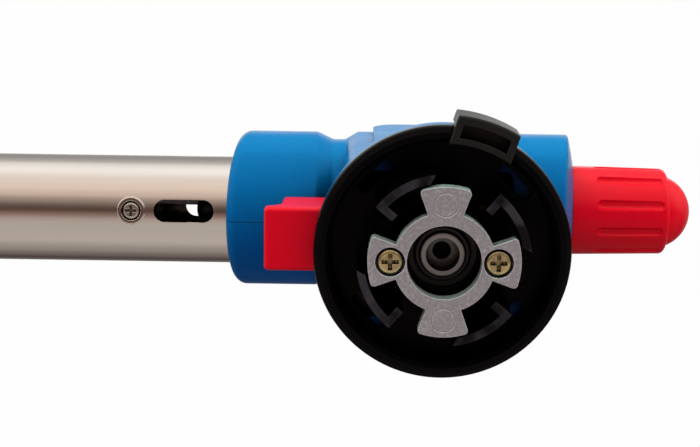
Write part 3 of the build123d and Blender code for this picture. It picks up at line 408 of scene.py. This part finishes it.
floor_mesh = bpy.data.meshes.new("floor")
shape = bmesh.new()
bmesh.ops.create_grid(shape, x_segments=FLOOR_GRID, y_segments=FLOOR_GRID, size=FLOOR_HALF)
shape.to_mesh(floor_mesh)
shape.free()
floor = bpy.data.objects.new("floor", floor_mesh)
floor.location = (STAGE_X, 0, cad_low.z - FLOOR_GAP)
scene.collection.objects.link(floor)
floor.visible_shadow = False
floor.visible_diffuse = False
floor.visible_glossy = False

# The floor shows only from above, because the photo's view comes from under it.
ground = Look("floor_pale")
ground.fill(ground.shader, Roughness=0.75)
tint = ground.blend(ground.noise(18.0, 4.0), (0.7, 0.585, 0.63), (0.73, 0.61, 0.655))
ground.fill(ground.shader, Base_Color=tint)
clear = ground.add("ShaderNodeBsdfTransparent")
either = ground.add("ShaderNodeMixShader")
behind = ground.add("ShaderNodeNewGeometry").outputs["Backfacing"]
ground.join(behind, either.inputs[0])
ground.join(ground.shader.outputs[0], either.inputs[1])
ground.join(clear.outputs[0], either.inputs[2])
ground.join(either.outputs[0], ground.tree.nodes["Material Output"].inputs["Surface"])
floor_mesh.materials.append(ground.material)

OVERHEAD_SIZE = (1.0, 0.7)     # along X and Y
OVERHEAD_POWER = 2.5           # watts
OVERHEAD_PLACE = (STAGE_X, 0.05, 1.0)

overhead_data = bpy.data.lights.new("overhead", "AREA")
overhead_data.shape = "RECTANGLE"
overhead_data.size, overhead_data.size_y = OVERHEAD_SIZE
overhead_data.energy = OVERHEAD_POWER
overhead = bpy.data.objects.new("overhead", overhead_data)
overhead.location = OVERHEAD_PLACE
overhead.visible_camera = False
scene.collection.objects.link(overhead)

# Studio surroundings as glossy surfaces see them: long soft panels that run along the burner
# tube. Each row is a direction round the tube in degrees, and the light from there. 0 is towards
# the camera, 90 the torch's left, 180 away from the camera and -90 the torch's right.
PANELS = [
    (-180, (0.30, 0.29, 0.28)),
    (-140, (0.10, 0.075, 0.07)),
    (-124, (0.24, 0.19, 0.18)),
    (-101, (0.46, 0.40, 0.36)),
    (-76, (0.72, 0.63, 0.57)),
    (-38, (0.68, 0.61, 0.54)),
    (-27, (0.62, 0.50, 0.45)),
    (-19, (0.38, 0.23, 0.20)),
    (-7, (0.10, 0.055, 0.04)),
    (0, (0.17, 0.12, 0.10)),
    (13, (0.48, 0.37, 0.31)),
    (26, (0.96, 0.75, 0.63)),
    (40, (1.17, 0.95, 0.80)),
    (60, (1.16, 1.01, 0.92)),
    (84, (1.42, 1.36, 1.30)),
    (98, (1.22, 1.17, 1.12)),
    (114, (0.62, 0.59, 0.56)),
    (128, (0.43, 0.41, 0.40)),
    (150, (0.42, 0.40, 0.39)),
    (180, (0.30, 0.29, 0.28)),
]

# The same for matt surfaces: a broad key from the torch's left, darker on its right.
SOFT_LIGHT = [
    (-180, (0.9, 0.9, 0.9)),
    (-90, (0.18, 0.06, 0.10)),
    (-35, (0.42, 0.26, 0.46)),
    (0, (0.78, 0.5, 0.66)),
    (90, (2.8, 4.7, 3.7)),
    (180, (0.9, 0.9, 0.9)),
]

world = bpy.data.worlds.new("studio")
world.use_nodes = True
scene.world = world
sky = world.node_tree
sky.nodes.clear()
direction = sky.nodes.new("ShaderNodeTexCoord").outputs["Generated"]
sides = []
for axis in (-forward, upward):
    dot = sky.nodes.new("ShaderNodeVectorMath")
    dot.operation = "DOT_PRODUCT"
    sky.links.new(direction, dot.inputs[0])
    dot.inputs[1].default_value = axis
    sides.append(dot.outputs["Value"])
around = sky.nodes.new("ShaderNodeMath")
around.operation = "ARCTAN2"
sky.links.new(sides[1], around.inputs[0])
sky.links.new(sides[0], around.inputs[1])
share = sky.nodes.new("ShaderNodeMapRange")
share.inputs["From Min"].default_value = -math.pi
share.inputs["From Max"].default_value = math.pi
sky.links.new(around.outputs[0], share.inputs["Value"])


def surroundings(colours):
    """Background whose colour goes by the direction's angle round the burner tube."""
    ramp = sky.nodes.new("ShaderNodeValToRGB")
    ramp.color_ramp.interpolation = "EASE"
    stops = ramp.color_ramp.elements
    while len(stops) > 1:
        stops.remove(stops[0])
    stops[0].position = 0.0
    stops[0].color = (*colours[0][1], 1)
    for angle, colour in colours[1:]:
        stops.new(angle / 360 + 0.5).color = (*colour, 1)
    sky.links.new(share.outputs["Result"], ramp.inputs["Fac"])
    background = sky.nodes.new("ShaderNodeBackground")
    sky.links.new(ramp.outputs["Color"], background.inputs["Color"])
    return background.outputs[0]


def either_of(choice, when_not, when_so):
    """Background shader that goes by a light-path choice of 0 or 1."""
    mixed = sky.nodes.new("ShaderNodeMixShader")
    for socket, source in zip(mixed.inputs, (choice, when_not, when_so)):
        sky.links.new(source, socket)
    return mixed.outputs[0]


BACKDROP = (0.99, 0.99, 0.99, 1)

backdrop = sky.nodes.new("ShaderNodeBackground")
backdrop.inputs["Color"].default_value = BACKDROP
ray = sky.nodes.new("ShaderNodeLightPath")
lit = either_of(ray.outputs["Is Diffuse Ray"], surroundings(PANELS), surroundings(SOFT_LIGHT))
seen = either_of(ray.outputs["Is Camera Ray"], lit, backdrop.outputs[0])
sky_out = sky.nodes.new("ShaderNodeOutputWorld")
sky.links.new(seen, sky_out.inputs["Surface"])
